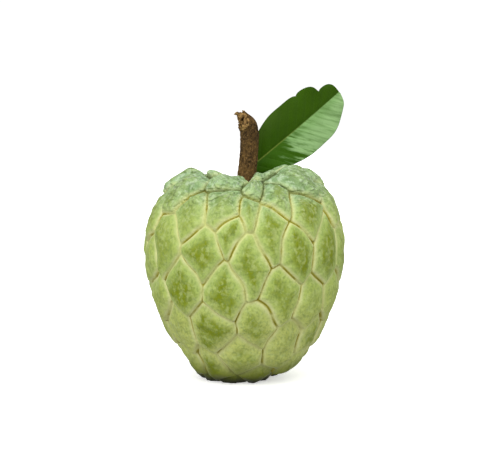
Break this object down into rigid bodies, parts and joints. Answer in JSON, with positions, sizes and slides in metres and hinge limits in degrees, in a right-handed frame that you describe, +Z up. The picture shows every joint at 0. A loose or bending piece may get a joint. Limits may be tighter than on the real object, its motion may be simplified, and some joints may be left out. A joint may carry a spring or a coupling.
{
  "type": "custard apple",
  "caption": "Heart-shaped knobbly custard apple of fused green carpels, with a torn woody stalk and one folded leaf, resting on a small flat spot.",
  "frame": {"origin": "middle of the bounding box's bottom, on the surface that the fruit rests on", "axes": "+Z up along the fruit's axis towards the stalk; -Y is the front; the leaf leans towards +X"},
  "size_m": [0.0854, 0.0857, 0.1236],
  "materials": {
    "skin": "waxy satin, rough in the seams",
    "bark": "rough bark",
    "leaf": "glossy upper face"
  },
  "bodies": {
    "root": {"fruit": "skin", "stalk": "bark", "leaf": "leaf"}
  },
  "joints": []
}
